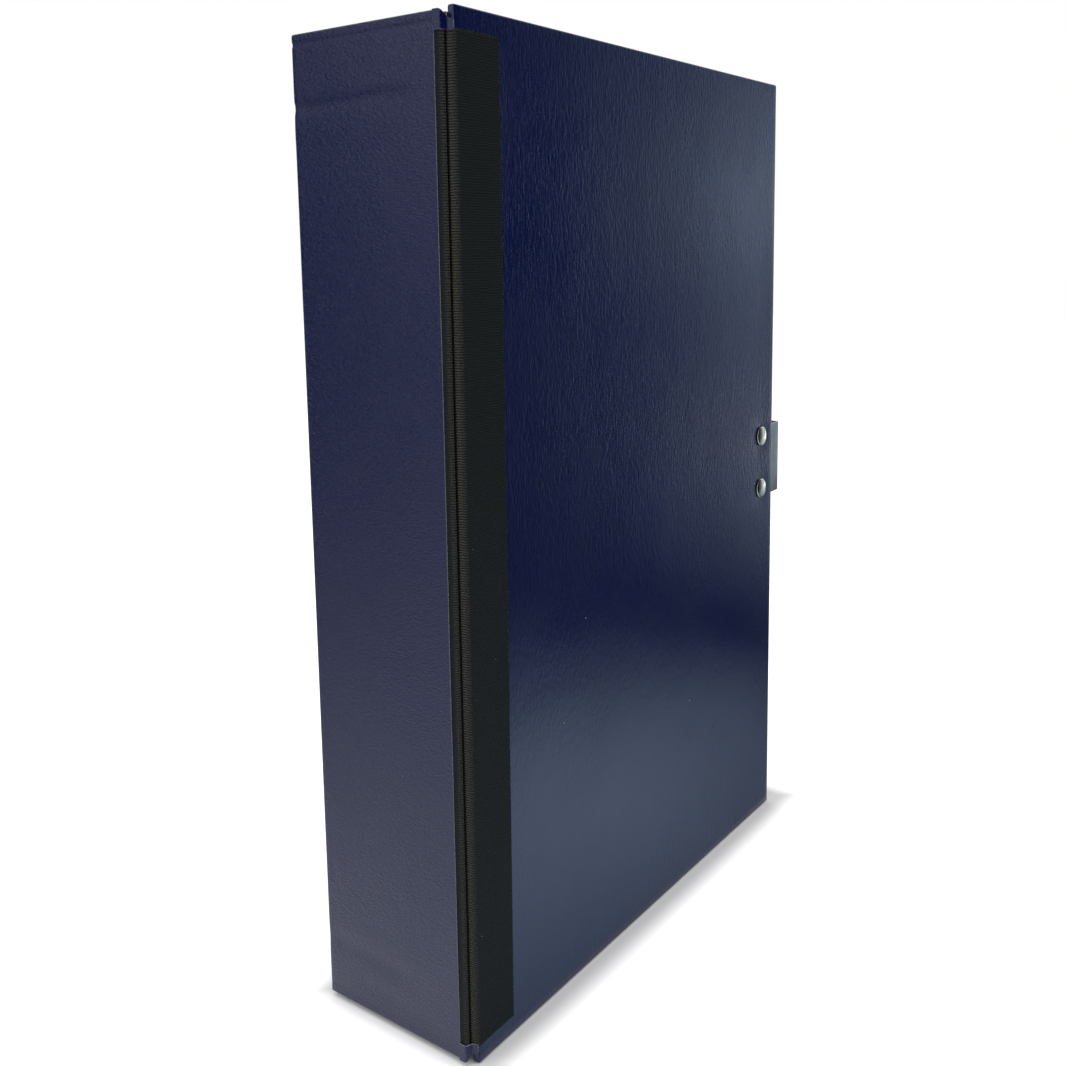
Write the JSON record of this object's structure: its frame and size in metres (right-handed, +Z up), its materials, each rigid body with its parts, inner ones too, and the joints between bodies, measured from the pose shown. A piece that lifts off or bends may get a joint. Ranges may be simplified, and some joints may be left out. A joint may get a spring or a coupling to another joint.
{
  "type": "archival box",
  "caption": "Upright covered-board document box with a deep tray, a cloth-hinged lid, a riveted sheet-metal hasp and a push-button catch on the fore-edge.",
  "frame": {"origin": "middle of the footprint, at the height of the lid's tail edge that the box stands on", "axes": "+Z up from tail to head, spine at -X, fore-edge with hasp and catch at +X, lid facing -Y, back at +Y"},
  "size_m": [0.2566, 0.075, 0.37],
  "materials": {
    "leatherette": "semi-gloss fine-grained navy leatherette",
    "board": "grey-brown board",
    "lining_paper": "matt off-white lining paper",
    "hinge_cloth": "ribbed black cloth tape",
    "nickel": "bright nickel plate",
    "steel": "dull plated sheet steel"
  },
  "bodies": {
    "tray": {"back_board": "board", "spine_board": "board", "fore_edge_board": "board", "head_board": "board", "tail_board": "board", "spine_wrap": "leatherette", "back_wrap": "leatherette", "fore_edge_wrap": "leatherette", "head_wrap": "leatherette", "tail_wrap": "leatherette", "back_lining": "lining_paper", "spine_lining": "lining_paper", "fore_edge_lining": "lining_paper", "head_lining": "lining_paper", "tail_lining": "lining_paper", "hinge_tape_spine": "hinge_cloth", "hinge_tape_fold": "hinge_cloth", "joint_strip_head": "leatherette", "joint_strip_tail": "leatherette", "catch_case": "steel", "catch_backing_strip": "steel", "catch_rivet_upper": "nickel", "catch_rivet_lower": "nickel", "button_spring": "steel"},
    "lid": {"lid_board": "board", "lid_wrap": "leatherette", "lid_lining": "lining_paper", "hinge_tape_lid": "hinge_cloth", "hasp_plate": "steel", "hasp_backing_strip": "steel", "hasp_rivet_upper": "nickel", "hasp_rivet_lower": "nickel"},
    "button": {"push_button": "nickel"}
  },
  "joints": [
    {"name": "lid_hinge", "type": "hinge", "parent": "tray", "child": "lid", "pos_m": [-0.1271, -0.034, 0.185], "axis": [0, 0, -1], "range_deg": [0, 195], "deforming": ["hinge_tape_fold", "joint_strip_head", "joint_strip_tail"]},
    {"name": "button_push", "type": "slide", "parent": "tray", "child": "button", "axis": [-1, 0, 0], "range_m": [0, 0.002], "stiffness_N_per_m": 400, "springref_m": -0.002, "deforming": ["button_spring"]}
  ]
}
